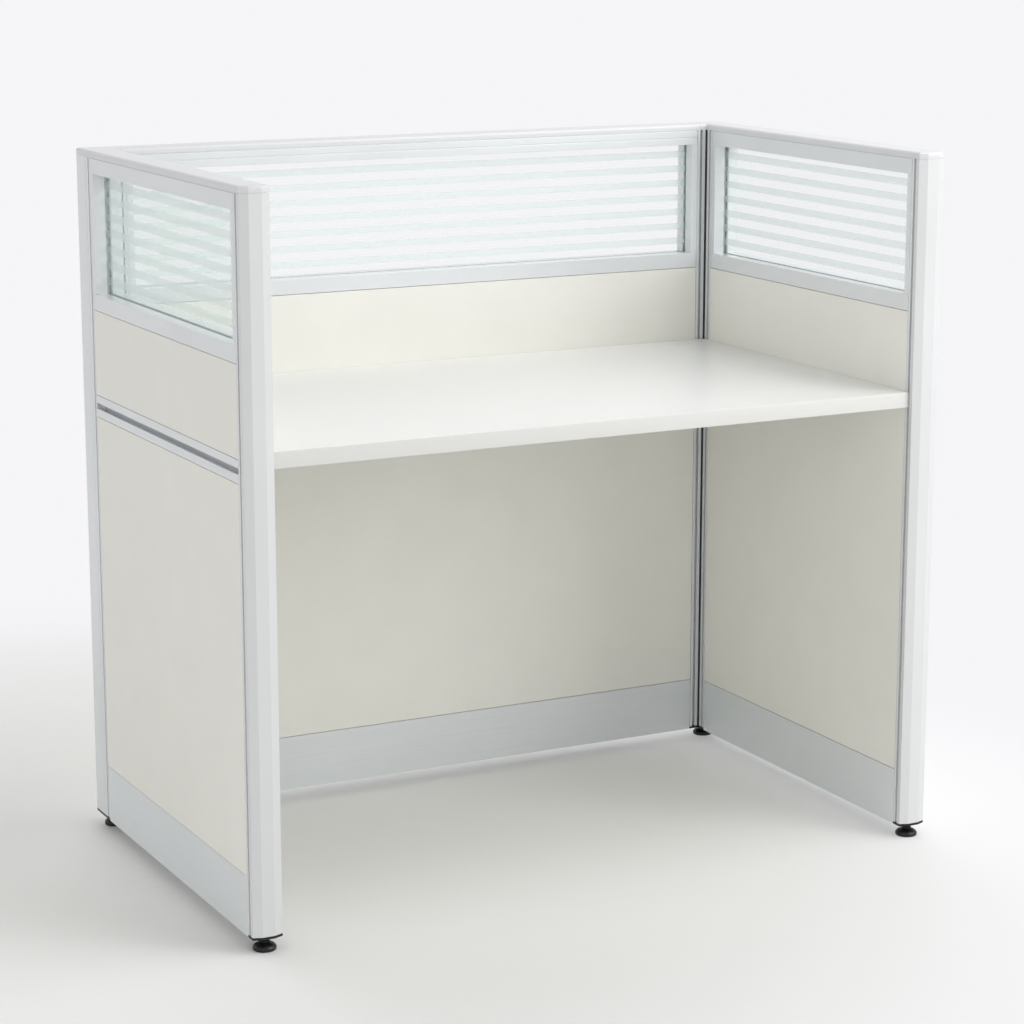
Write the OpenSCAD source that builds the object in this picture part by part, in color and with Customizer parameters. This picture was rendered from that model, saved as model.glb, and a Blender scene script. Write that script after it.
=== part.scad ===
// Cubicle workstation: three glazed panel walls round a worktop, on four levelling feet.
// The origin lies on the floor under the middle, +X to the right, the open front towards -Y, +Z up.

/* [Overall] */
// Width across both side walls
overall_w = 1200; // [1000:10:1600]
// Depth from the bowed end covers to the back of the rear wall
overall_d = 700; // [600:10:900]
// Height of the walls above the floor
overall_h = 1134; // [1000:1:1400]
// Thickness of each wall
wall_t = 48; // [44:1:60]

/* [Worktop] */
// Height of the worktop's top face above the floor
worktop_top = 750; // [700:5:780]
// Thickness of the board
worktop_t = 25; // [18:1:32]
// How far the front edge lies behind the rear edge of the end covers
worktop_setback = 0.5; // [0:0.5:40]
// Side of the square notch in each rear corner of the board
worktop_notch = 4; // [3:0.5:10]
// Gap between the board and the walls
worktop_gap = 0.5; // [0.2:0.1:2]

/* [Window] */
// Share that the window takes of the height between slotted rail and top rail, less the sill rail
window_share = 0.58; // [0.4:0.01:0.65]
// Height of the top rail over the window
head_h = 25; // [20:1:40]
// Height of the sill rail under the window
sill_h = 26; // [20:1:40]
// Thickness of the glass
glass_t = 5; // [4:1:6]
// Width of the glazing channel
channel_w = 9; // [8:0.5:12]
// Depth of the glazing channel
channel_d = 6; // [5:0.5:8]
// How far the glass reaches into the channels beside and above it
glass_bite = 4; // [3:0.5:4.5]

/* [Tiles and skirting] */
// Thickness of the tiles
tile_t = 8; // [6:0.5:10]
// Width of the seam round tiles, rails and skirting plates
seam = 0.8; // [0.4:0.1:2]
// Depth of the seam where it runs on as a groove in the jambs
seam_d = 1; // [0.5:0.1:1.5]
// Height of the skirting plates
skirt_h = 94; // [80:1:160]
// Thickness of the skirting plates
skirt_t = 2; // [1:0.5:3]
// Thickness of the clip ribs behind the skirting plates
rib_t = 2; // [1:0.5:3]
// Height of the base rail's lower face above the skirting's lower edge
base_rail_lift = 39; // [20:1:42]
// Height of the base rail
base_rail_h = 30; // [20:1:40]

/* [Slotted rail] */
// How far the rail's top lies under the worktop's top face
slot_rail_drop = 9; // [2:1:12]
// Height of the rail
slot_rail_h = 35; // [32:1:50]
// Height of the lip over the slot
slot_lip_h = 12.5; // [10:0.5:14]
// Height of the slot's mouth
slot_h = 9.5; // [8:0.5:12]
// Depth of the slot's mouth
slot_mouth_d = 4; // [3:0.5:5]
// Height of the hooking chamber over and under the mouth
slot_undercut = 4; // [2:0.5:6]
// Depth of the hooking chamber
slot_chamber_d = 8; // [6:0.5:10]
// Clearance between the rail's back channel and its two clipped-on lips
lip_gap = 0.05; // [0.02:0.01:0.2]

/* [Stiles and posts] */
// Width of the stiles
stile_w = 17; // [17:0.5:26]
// Width of the lip that shows beside the tiles
lip_w = 5; // [4:0.5:8]
// Wall of the hollow stiles and rails
tube_wall = 2; // [1.5:0.25:2.5]
// Width of the shadow groove between wall frames and posts
joint_w = 5; // [3:0.5:8]
// Depth of the shadow groove
joint_d = 6; // [4:0.5:7]
// Length of the fins that flank the shadow groove
fin_l = 8; // [6:0.5:14]
// Thickness of the fins
fin_t = 3; // [2:0.25:3.5]
// Wall of the corner posts
post_wall = 2.5; // [2:0.25:4]
// Radius of a corner post's outer edge
post_r = 3; // [2:0.5:6]
// Width of the fine groove along the posts and the rear top rail
line_w = 1.5; // [0.8:0.1:2]
// Depth of the fine groove
line_d = 1; // [0.5:0.1:1.5]
// Radius of the seal strip in the inner corners
seal_r = 2.2; // [1.5:0.1:2.6]
// Clearance beside the seal strip
seal_gap = 0.2; // [0:0.05:0.5]

/* [End covers] */
// Rise of the bowed front face
bow = 5.5; // [3:0.5:10]
// Width of the flat middle of the bow
bow_flat = 20; // [12:1:28]
// Wall of the end covers
cover_wall = 3; // [2:0.25:3.5]
// How far the front stiles reach into the end covers
cover_hold = 5; // [4:0.5:6]

/* [Caps] */
// Height of the caps on the walls and posts
cap_h = 11; // [9:1:18]
// Radius of the caps' upper edges
cap_r = 5; // [3:0.5:8]
// Wall of the caps
cap_wall = 3; // [2:0.25:4]
// Height and depth of the shadow line under the wall caps
shadow_w = 1; // [0.5:0.1:1.5]

/* [Base plates and feet] */
// Height of the base plates' lower face above the floor
base_gap = 21; // [21:1:30]
// Thickness of the base plates
plate_t = 4; // [3:0.5:6]
// Height of the threaded socket above a base plate
socket_h = 16; // [12:1:24]
// Wall of the threaded socket
socket_wall = 2.5; // [2:0.25:3]
// Radius of the levelling stems
stem_r = 5; // [4:0.25:5]
// Length of the levelling stems
stem_l = 54; // [40:1:70]
// Radial clearance of the stems in sockets and pads
stem_gap = 0.05; // [0.02:0.01:0.1]
// Radius of the foot pads
pad_r = 18; // [14:0.5:18]
// Height of the foot pads
pad_h = 11; // [9:0.5:12]
// Height of the upright rim of a foot pad
pad_rim_h = 2.5; // [1.5:0.5:5]
// Radius of the pad's flat top
pad_top_r = 8; // [7:0.5:10]
// Thickness of the pad under the stem
pad_floor = 4; // [3:0.5:6]
// Radius of the stem's hexagon over its corners
hex_r = 8.5; // [7:0.5:10]
// Height of the stem's hexagon
hex_h = 4; // [3:0.5:4]
// Clearance between the hexagon and the pad
hex_gap = 0.5; // [0.3:0.1:0.8]

/* [Worktop brackets] */
// Length of a bracket
bracket_l = 180; // [120:10:300]
// Width of each bracket leg
bracket_leg = 30; // [26:1:50]
// Thickness of the brackets
bracket_t = 3; // [2:0.5:5]
// Distance from a bracket's ends to its screws
screw_margin = 30; // [10:1:50]
// Radius of the screw shanks
screw_r = 2; // [1.5:0.25:2.5]
// Length of the screw shanks
screw_l = 18; // [14:1:20]
// Radius of the screw heads
screw_head_r = 4.2; // [3.5:0.1:5]
// Height of the screw heads
screw_head_h = 2.6; // [2:0.1:3.5]
// Radial clearance of the screws in their holes
screw_gap = 0.1; // [0.05:0.05:0.3]

/* [Hidden] */
// Steps of a rounded edge and of the pad's dome
arc_steps = 6;
dome_steps = 8;
round_fn = 48;
hex_fn = 6;
// Overrun of every cut, and thickness of a slice in a rounded form
over = 1;
slice_t = 0.01;

// Heights
plate_top = base_gap + plate_t;
rail_top = overall_h - cap_h;
window_top = rail_top - head_h;
slot_rail_top = worktop_top - slot_rail_drop;
window_h = (window_top - slot_rail_top - sill_h) * window_share;
sill_top = window_top - window_h;
sill_bottom = sill_top - sill_h;
slot_rail_bottom = slot_rail_top - slot_rail_h;
slot_top = slot_rail_top - slot_lip_h;
slot_bottom = slot_top - slot_h;
slot_back = slot_mouth_d + slot_chamber_d;
skirt_top = base_gap + skirt_h;
base_rail_bottom = base_gap + base_rail_lift;
worktop_bottom = worktop_top - worktop_t;
wall_screw_drop = (worktop_bottom - slot_rail_bottom) / 2;
frame_h = rail_top - plate_top;

// Plan
core_t = wall_t - 2 * tile_t;
neck_t = wall_t - 2 * joint_d;
joint_l = fin_l + joint_w;
front_l = bow + joint_l;
front_neck_l = joint_w + cover_hold;
side_l = overall_d - wall_t - joint_l - front_l;
rear_l = overall_w - 2 * (wall_t + joint_l);
face_inset = lip_w + seam;
facet_w = (wall_t - bow_flat) / 2;
facet_l = sqrt(pow(facet_w, 2) + pow(bow, 2));
hollow_end = stile_w - channel_d - tube_wall;
foot_inset = front_l + (hollow_end - (front_neck_l - tube_wall)) / 2;
screw_x = bracket_l / 2 - screw_margin;
inner_x = overall_w / 2 - wall_t;
inner_y = overall_d / 2 - wall_t;

// Colours
SILVER = "#C3C9CC";
CAP_WHITE = "#E4E6E8";
CREAM = "#D9D8D1";
BOARD_WHITE = "#F1F1EF";
SKIRT_GREY = "#BDC5C8";
GLASS_MINT = "#CFDCD9";
BLACK = "#1D1E20";
STEEL = "#8E9295";

// Points of an arc from angle a0 to a1
function arc(centre, r, a0, a1) = [
    for (i = [0 : arc_steps])
        let (a = a0 + (a1 - a0) * i / arc_steps)
        centre + r * [cos(a), sin(a)]
];

// Half of the bow's outline, moved inwards by inset on the front and the side
function bow_half(inset, depth) = [
    [inset, depth],
    [inset, bow + inset * (facet_l - bow) / facet_w],
    [facet_w + inset * (facet_l - facet_w) / bow, inset]
];

// Plan outline of a bowed front end: its front at y = 0, its sides at x = 0 and x = wall_t
function bow_outline(inset, depth) = concat(
    bow_half(inset, depth),
    [for (i = [2 : -1 : 0]) let (p = bow_half(inset, depth)[i]) [wall_t - p[0], p[1]]]
);

// Section of a wall cap: y across the wall, z up, rounded at the upper edges
function cap_section(near_r, far_r) = concat(
    [[0, 0]],
    arc([near_r, cap_h - near_r], near_r, 180, 90),
    arc([wall_t - far_r, cap_h - far_r], far_r, 90, 0),
    [[wall_t, 0]]
);

// A wall's own frame: x along the wall from its first stile, y inwards from its outer face
module on_left_wall() {
    translate([-overall_w / 2, overall_d / 2 - wall_t - joint_l, 0])
        rotate([0, 0, -90])
            children();
}

module on_rear_wall() {
    translate([overall_w / 2 - wall_t - joint_l, overall_d / 2, 0])
        rotate([0, 0, 180])
            children();
}

module on_right_wall() {
    mirror([1, 0, 0])
        on_left_wall()
            children();
}

// The rear left corner: x to the right and y to the front from the outer edge
module at_left_corner() {
    translate([-overall_w / 2, overall_d / 2, 0])
        mirror([0, 1, 0])
            children();
}

module at_right_corner() {
    mirror([1, 0, 0])
        at_left_corner()
            children();
}

// The front left end: x to the right and y to the rear from the bow's front
module at_left_end() {
    translate([-overall_w / 2, -overall_d / 2, 0])
        children();
}

module at_right_end() {
    mirror([1, 0, 0])
        at_left_end()
            children();
}

module at_front_foot(side) {
    translate([side * (overall_w - wall_t) / 2, -overall_d / 2 + foot_inset, 0])
        children();
}

module at_rear_foot(side) {
    translate([side * (overall_w - wall_t) / 2, (overall_d - wall_t) / 2, 0])
        children();
}

// Carries a section drawn in y and z along x
module along(length) {
    rotate([90, 0, 90])
        linear_extrude(length)
            children();
}

module box(from, to) {
    translate(from)
        cube(to - from);
}

// Stile at the start of a wall frame, with its neck reaching back towards the post
module stile(neck_l) {
    difference() {
        union() {
            box([0, 0, plate_top], [lip_w, wall_t, rail_top]);
            box([0, tile_t, plate_top], [stile_w, wall_t - tile_t, rail_top]);
            box([0, 0, sill_top], [stile_w, wall_t, window_top]);
            box([-neck_l, joint_d, plate_top], [0, wall_t - joint_d, rail_top]);
        }
        box([tube_wall - neck_l, tile_t + tube_wall, plate_top - over],
            [hollow_end, wall_t - tile_t - tube_wall, rail_top + over]);
        box([stile_w - channel_d, (wall_t - channel_w) / 2, sill_top - channel_d],
            [stile_w + over, (wall_t + channel_w) / 2, window_top + channel_d]);
        for (y = [-over, wall_t - seam_d])
            box([lip_w, y, sill_top - over], [lip_w + seam, y + seam_d + over, window_top + over]);
    }
}

module wall_stiles(length, first_neck, last_neck) {
    color(SILVER) {
        stile(first_neck);
        translate([length, 0, 0])
            mirror([1, 0, 0])
                stile(last_neck);
    }
}

// A rail's full section between the lips, cut round the cores of both stiles
module rail_body(length, low, high, inner_face) {
    difference() {
        box([face_inset, 0, low], [length - face_inset, inner_face, high]);
        for (x = [0, length - stile_w])
            box([x, tile_t, low - over], [x + stile_w, wall_t - tile_t, high + over]);
    }
}

module top_rail(length, lined) {
    color(SILVER)
        difference() {
            rail_body(length, window_top, rail_top, wall_t);
            box([0, (wall_t - channel_w) / 2, window_top - over],
                [length, (wall_t + channel_w) / 2, window_top + channel_d]);
            box([0, tile_t + tube_wall, window_top + channel_d + tube_wall],
                [length, wall_t - tile_t - tube_wall, rail_top - tube_wall]);
            for (y = [-over, wall_t - shadow_w])
                box([0, y, rail_top - shadow_w], [length, y + shadow_w + over, rail_top + over]);
            if (lined)
                for (y = [-over, wall_t - line_d])
                    translate([0, 0, (window_top + rail_top) / 2])
                        box([0, y, -line_w / 2], [length, y + line_d + over, line_w / 2]);
        }
}

module sill_rail(length) {
    color(SILVER)
        difference() {
            rail_body(length, sill_bottom, sill_top, wall_t);
            box([0, (wall_t - channel_w) / 2, sill_top - channel_d],
                [length, (wall_t + channel_w) / 2, sill_top + over]);
            box([0, tile_t + tube_wall, sill_bottom + tube_wall],
                [length, wall_t - tile_t - tube_wall, sill_top - channel_d - tube_wall]);
        }
}

module glass_pane(length) {
    color(GLASS_MINT, 0.45)
        box([stile_w - glass_bite, (wall_t - glass_t) / 2, sill_top - channel_d],
            [length - stile_w + glass_bite, (wall_t + glass_t) / 2, window_top + glass_bite]);
}

// Face lip of the slotted rail, hollowed behind its mouth edge between two heights
module slot_lip(length, low, high, cut_low, cut_high) {
    difference() {
        rail_body(length, low, high, slot_back);
        box([0, slot_mouth_d, cut_low], [length, slot_back + over, cut_high]);
    }
}

// Hollow back of the slotted rail, which also takes the bracket screws
module slot_channel(length) {
    front = slot_back + lip_gap;
    back = wall_t - tile_t;
    difference() {
        box([stile_w, front, slot_rail_bottom], [length - stile_w, back, slot_rail_top]);
        box([0, front + tube_wall, slot_rail_bottom + tube_wall],
            [length, back - tube_wall, slot_rail_top - tube_wall]);
        bracket_screw_holes(length);
    }
}

// Rail at desk height: two lips leave an accessory slot between them in the outer face
module slotted_rail(length) {
    color(SILVER) {
        slot_lip(length, slot_top, slot_rail_top, slot_top - over, slot_top + slot_undercut);
        slot_lip(length, slot_rail_bottom, slot_bottom, slot_bottom - slot_undercut, slot_bottom + over);
        slot_channel(length);
    }
}

module tile(length, outer, low, high) {
    y = outer ? 0 : wall_t - tile_t;
    color(CREAM)
        box([face_inset, y, low + seam], [length - face_inset, y + tile_t, high - seam]);
}

module inner_lower_tile(length) {
    difference() {
        tile(length, false, skirt_top, slot_rail_top);
        color(CREAM)
            bracket_screw_holes(length);
    }
}

module base_rail(length) {
    color(SILVER)
        difference() {
            box([stile_w, tile_t, base_rail_bottom], [length - stile_w, wall_t - tile_t, base_rail_bottom + base_rail_h]);
            box([0, tile_t + tube_wall, base_rail_bottom + tube_wall],
                [length, wall_t - tile_t - tube_wall, base_rail_bottom + base_rail_h - tube_wall]);
        }
}

// Skirting plate of the outer face, with two clip ribs that bear on the base rail
module skirting(length) {
    color(SKIRT_GREY) {
        box([face_inset, 0, base_gap], [length - face_inset, skirt_t, skirt_top]);
        for (z = [base_rail_bottom, base_rail_bottom + base_rail_h - rib_t])
            box([stile_w, skirt_t - over / 2, z], [length - stile_w, tile_t, z + rib_t]);
    }
}

module inner_skirting(length) {
    translate([0, wall_t, 0])
        mirror([0, 1, 0])
            skirting(length);
}

module wall_cap(length) {
    color(CAP_WHITE)
        translate([0, 0, rail_top])
            along(length)
                difference() {
                    polygon(cap_section(cap_r, cap_r));
                    translate([cap_wall, -over])
                        square([wall_t - 2 * cap_wall, cap_h - cap_wall + over]);
                }
}

// Corner post with two pairs of fins, one pair towards each wall
module corner_post() {
    color(SILVER)
        translate([0, 0, plate_top])
            linear_extrude(frame_h)
                difference() {
                    union() {
                        square(wall_t);
                        for (f = [0, wall_t - fin_t]) {
                            translate([0, f])
                                square([wall_t + fin_l, fin_t]);
                            translate([f, 0])
                                square([fin_t, wall_t + fin_l]);
                        }
                    }
                    translate([post_wall, post_wall])
                        square(wall_t - 2 * post_wall);
                    translate([wall_t - seal_r, wall_t - seal_r])
                        square(2 * seal_r + seal_gap);
                    for (m = [[0, 0, 0], [1, -1, 0]])
                        mirror(m)
                            translate([wall_t - 2 * line_w, -over])
                                square([line_w, line_d + over]);
                    edge_cut();
                }
}

// What the rounding takes from the sharp outer edge of a corner
module edge_cut() {
    difference() {
        translate([-over, -over])
            square(post_r + over);
        translate([post_r, post_r])
            circle(post_r, $fn = round_fn);
    }
}

module corner_seal() {
    color(BLACK)
        translate([wall_t, wall_t, plate_top])
            cylinder(frame_h, seal_r, seal_r, $fn = round_fn);
}

module end_cover() {
    color(CAP_WHITE)
        translate([0, 0, plate_top])
            linear_extrude(frame_h) {
                difference() {
                    polygon(bow_outline(0, bow + fin_l));
                    polygon(bow_outline(cover_wall, bow + fin_l + over));
                }
                translate([facet_w, cover_wall / 2])
                    square([bow_flat, bow + fin_l - cover_hold - cover_wall / 2]);
            }
}

// Cap over an end cover and its shadow groove
module end_cap() {
    color(CAP_WHITE)
        translate([0, 0, rail_top])
            hull() {
                linear_extrude(slice_t)
                    polygon(bow_outline(0, front_l));
                for (p = arc([cap_r, cap_h - cap_r - slice_t], cap_r, 180, 90))
                    translate([0, 0, p[1]])
                        linear_extrude(slice_t)
                            polygon(bow_outline(p[0], front_l));
            }
}

// Cap over a corner post and the shadow grooves beside it
module corner_cap() {
    arm = wall_t + joint_l;
    color(CAP_WHITE)
        translate([0, 0, rail_top])
            difference() {
                intersection() {
                    union() {
                        along(arm)
                            polygon(cap_section(cap_r, cap_r));
                        mirror([1, -1, 0])
                            along(arm)
                                polygon(cap_section(cap_r, cap_r));
                    }
                    side_round(arm);
                    mirror([1, -1, 0])
                        side_round(arm);
                }
                translate([0, 0, -over])
                    linear_extrude(cap_h + 2 * over)
                        edge_cut();
                box([post_wall, post_wall, -over], [wall_t - post_wall, wall_t - post_wall, cap_h - cap_wall]);
            }
}

// Space under a cap that is rounded only along its outer edge
module side_round(length) {
    translate([-over, 0, 0])
        along(length + 2 * over)
            polygon(concat(
                [[0, 0]],
                arc([cap_r, cap_h - cap_r], cap_r, 180, 90),
                [[length + over, cap_h], [length + over, 0]]
            ));
}

module base_plate_bore() {
    cylinder(plate_t + socket_h + 2 * over, stem_r + stem_gap, stem_r + stem_gap, $fn = round_fn);
}

module socket() {
    cylinder(plate_t + socket_h, stem_r + stem_gap + socket_wall, stem_r + stem_gap + socket_wall, $fn = round_fn);
}

module front_base_plate() {
    foot = [wall_t / 2, foot_inset, 0];
    color(BLACK)
        translate([0, 0, base_gap])
            difference() {
                union() {
                    linear_extrude(plate_t)
                        polygon(bow_outline(0, front_l + lip_w));
                    translate(foot)
                        socket();
                }
                translate(foot - [0, 0, over])
                    base_plate_bore();
            }
}

module rear_base_plate() {
    foot = [wall_t / 2, wall_t / 2, 0];
    arm = wall_t + joint_l + lip_w;
    color(BLACK)
        translate([0, 0, base_gap])
            difference() {
                union() {
                    cube([arm, wall_t, plate_t]);
                    cube([wall_t, arm, plate_t]);
                    translate(foot)
                        socket();
                }
                translate(foot - [0, 0, over])
                    base_plate_bore();
                translate([0, 0, -over])
                    linear_extrude(plate_t + 2 * over)
                        edge_cut();
            }
}

module foot_pad() {
    color(BLACK)
        difference() {
            rotate_extrude($fn = round_fn)
                polygon(concat(
                    [[0, 0], [pad_r, 0]],
                    [
                        for (i = [0 : dome_steps])
                            let (a = 90 * i / dome_steps)
                            [pad_top_r + (pad_r - pad_top_r) * cos(a), pad_rim_h + (pad_h - pad_rim_h) * sin(a)]
                    ],
                    [[0, pad_h]]
                ));
            translate([0, 0, pad_floor])
                cylinder(pad_h, stem_r + stem_gap, stem_r + stem_gap, $fn = round_fn);
        }
}

module foot_stem() {
    color(BLACK) {
        translate([0, 0, pad_floor])
            cylinder(stem_l, stem_r, stem_r, $fn = round_fn);
        translate([0, 0, pad_h + hex_gap])
            cylinder(hex_h, hex_r, hex_r, $fn = hex_fn);
    }
}

// Middle of a bracket, in its wall's own frame
module at_bracket(length) {
    translate([length / 2, wall_t, worktop_bottom])
        children();
}

// Screw places of a bracket's upright leg, half way down the slotted rail's part under the board
module each_wall_screw() {
    for (s = [-1, 1])
        translate([s * screw_x, bracket_t, -wall_screw_drop])
            rotate([90, 0, 0])
                children();
}

// Screw places of a bracket's level leg, in its middle
module each_board_screw() {
    for (s = [-1, 1])
        translate([s * screw_x, (bracket_t + bracket_leg) / 2, -bracket_t])
            children();
}

module screw_hole() {
    translate([0, 0, -over])
        cylinder(screw_l + 2 * over, screw_r + screw_gap, screw_r + screw_gap, $fn = round_fn);
}

module screw() {
    cylinder(screw_l, screw_r, screw_r, $fn = round_fn);
    translate([0, 0, -screw_head_h])
        cylinder(screw_head_h, screw_head_r, screw_head_r, $fn = round_fn);
}

module bracket_screw_holes(length) {
    at_bracket(length)
        each_wall_screw()
            screw_hole();
}

module bracket(length) {
    color(STEEL)
        at_bracket(length)
            difference() {
                union() {
                    box([-bracket_l / 2, 0, -bracket_leg], [bracket_l / 2, bracket_t, 0]);
                    box([-bracket_l / 2, 0, -bracket_t], [bracket_l / 2, bracket_leg, 0]);
                }
                each_wall_screw()
                    screw_hole();
                each_board_screw()
                    screw_hole();
            }
}

module bracket_screw_set(length) {
    color(STEEL)
        at_bracket(length) {
            each_wall_screw()
                screw();
            each_board_screw()
                screw();
        }
}

module left_stiles() {
    on_left_wall()
        wall_stiles(side_l, joint_l, front_neck_l);
}

module left_top_rail() {
    on_left_wall()
        top_rail(side_l, false);
}

module left_sill_rail() {
    on_left_wall()
        sill_rail(side_l);
}

module left_glass() {
    on_left_wall()
        glass_pane(side_l);
}

module left_slotted_rail() {
    on_left_wall()
        slotted_rail(side_l);
}

module left_outer_upper_tile() {
    on_left_wall()
        tile(side_l, true, slot_rail_top, sill_bottom);
}

module left_inner_upper_tile() {
    on_left_wall()
        tile(side_l, false, slot_rail_top, sill_bottom);
}

module left_outer_lower_tile() {
    on_left_wall()
        tile(side_l, true, skirt_top, slot_rail_bottom);
}

module left_inner_lower_tile() {
    on_left_wall()
        inner_lower_tile(side_l);
}

module left_base_rail() {
    on_left_wall()
        base_rail(side_l);
}

module left_outer_skirting() {
    on_left_wall()
        skirting(side_l);
}

module left_inner_skirting() {
    on_left_wall()
        inner_skirting(side_l);
}

module left_wall_cap() {
    on_left_wall()
        wall_cap(side_l);
}

module rear_stiles() {
    on_rear_wall()
        wall_stiles(rear_l, joint_l, joint_l);
}

module rear_top_rail() {
    on_rear_wall()
        top_rail(rear_l, true);
}

module rear_sill_rail() {
    on_rear_wall()
        sill_rail(rear_l);
}

module rear_glass() {
    on_rear_wall()
        glass_pane(rear_l);
}

module rear_slotted_rail() {
    on_rear_wall()
        slotted_rail(rear_l);
}

module rear_outer_upper_tile() {
    on_rear_wall()
        tile(rear_l, true, slot_rail_top, sill_bottom);
}

module rear_inner_upper_tile() {
    on_rear_wall()
        tile(rear_l, false, slot_rail_top, sill_bottom);
}

module rear_outer_lower_tile() {
    on_rear_wall()
        tile(rear_l, true, skirt_top, slot_rail_bottom);
}

module rear_inner_lower_tile() {
    on_rear_wall()
        inner_lower_tile(rear_l);
}

module rear_base_rail() {
    on_rear_wall()
        base_rail(rear_l);
}

module rear_outer_skirting() {
    on_rear_wall()
        skirting(rear_l);
}

module rear_inner_skirting() {
    on_rear_wall()
        inner_skirting(rear_l);
}

module rear_wall_cap() {
    on_rear_wall()
        wall_cap(rear_l);
}

module right_stiles() {
    on_right_wall()
        wall_stiles(side_l, joint_l, front_neck_l);
}

module right_top_rail() {
    on_right_wall()
        top_rail(side_l, false);
}

module right_sill_rail() {
    on_right_wall()
        sill_rail(side_l);
}

module right_glass() {
    on_right_wall()
        glass_pane(side_l);
}

module right_slotted_rail() {
    on_right_wall()
        slotted_rail(side_l);
}

module right_outer_upper_tile() {
    on_right_wall()
        tile(side_l, true, slot_rail_top, sill_bottom);
}

module right_inner_upper_tile() {
    on_right_wall()
        tile(side_l, false, slot_rail_top, sill_bottom);
}

module right_outer_lower_tile() {
    on_right_wall()
        tile(side_l, true, skirt_top, slot_rail_bottom);
}

module right_inner_lower_tile() {
    on_right_wall()
        inner_lower_tile(side_l);
}

module right_base_rail() {
    on_right_wall()
        base_rail(side_l);
}

module right_outer_skirting() {
    on_right_wall()
        skirting(side_l);
}

module right_inner_skirting() {
    on_right_wall()
        inner_skirting(side_l);
}

module right_wall_cap() {
    on_right_wall()
        wall_cap(side_l);
}

module left_corner_post() {
    at_left_corner()
        corner_post();
}

module right_corner_post() {
    at_right_corner()
        corner_post();
}

module left_end_cover() {
    at_left_end()
        end_cover();
}

module right_end_cover() {
    at_right_end()
        end_cover();
}

module left_end_cap() {
    at_left_end()
        end_cap();
}

module right_end_cap() {
    at_right_end()
        end_cap();
}

module left_corner_cap() {
    at_left_corner()
        corner_cap();
}

module right_corner_cap() {
    at_right_corner()
        corner_cap();
}

module corner_seals() {
    at_left_corner()
        corner_seal();
    at_right_corner()
        corner_seal();
}

module base_plates() {
    at_left_end()
        front_base_plate();
    at_right_end()
        front_base_plate();
    at_left_corner()
        rear_base_plate();
    at_right_corner()
        rear_base_plate();
}

module worktop() {
    side = inner_x - worktop_gap;
    back = inner_y - worktop_gap;
    front = bow + fin_l + worktop_setback - overall_d / 2;
    color(BOARD_WHITE)
        difference() {
            box([-side, front, worktop_bottom], [side, back, worktop_top]);
            for (s = [-1, 1])
                translate([s * side, back, worktop_bottom - over])
                    linear_extrude(worktop_t + 2 * over)
                        square(2 * worktop_notch, center = true);
            on_left_wall()
                board_screw_holes(side_l);
            on_rear_wall()
                board_screw_holes(rear_l);
            on_right_wall()
                board_screw_holes(side_l);
        }
}

module board_screw_holes(length) {
    at_bracket(length)
        each_board_screw()
            screw_hole();
}

module worktop_brackets() {
    on_left_wall()
        bracket(side_l);
    on_rear_wall()
        bracket(rear_l);
    on_right_wall()
        bracket(side_l);
}

module bracket_screws() {
    on_left_wall()
        bracket_screw_set(side_l);
    on_rear_wall()
        bracket_screw_set(rear_l);
    on_right_wall()
        bracket_screw_set(side_l);
}

module front_left_foot_pad() {
    at_front_foot(-1)
        foot_pad();
}

module front_right_foot_pad() {
    at_front_foot(1)
        foot_pad();
}

module rear_left_foot_pad() {
    at_rear_foot(-1)
        foot_pad();
}

module rear_right_foot_pad() {
    at_rear_foot(1)
        foot_pad();
}

module front_left_foot_stem() {
    at_front_foot(-1)
        foot_stem();
}

module front_right_foot_stem() {
    at_front_foot(1)
        foot_stem();
}

module rear_left_foot_stem() {
    at_rear_foot(-1)
        foot_stem();
}

module rear_right_foot_stem() {
    at_rear_foot(1)
        foot_stem();
}

left_stiles();
left_top_rail();
left_sill_rail();
left_glass();
left_slotted_rail();
left_outer_upper_tile();
left_inner_upper_tile();
left_outer_lower_tile();
left_inner_lower_tile();
left_base_rail();
left_outer_skirting();
left_inner_skirting();
left_wall_cap();
rear_stiles();
rear_top_rail();
rear_sill_rail();
rear_glass();
rear_slotted_rail();
rear_outer_upper_tile();
rear_inner_upper_tile();
rear_outer_lower_tile();
rear_inner_lower_tile();
rear_base_rail();
rear_outer_skirting();
rear_inner_skirting();
rear_wall_cap();
right_stiles();
right_top_rail();
right_sill_rail();
right_glass();
right_slotted_rail();
right_outer_upper_tile();
right_inner_upper_tile();
right_outer_lower_tile();
right_inner_lower_tile();
right_base_rail();
right_outer_skirting();
right_inner_skirting();
right_wall_cap();
left_corner_post();
right_corner_post();
left_end_cover();
right_end_cover();
left_end_cap();
right_end_cap();
left_corner_cap();
right_corner_cap();
corner_seals();
base_plates();
worktop();
worktop_brackets();
bracket_screws();
front_left_foot_pad();
front_right_foot_pad();
rear_left_foot_pad();
rear_right_foot_pad();
front_left_foot_stem();
front_right_foot_stem();
rear_left_foot_stem();
rear_right_foot_stem();
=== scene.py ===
import math

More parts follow.
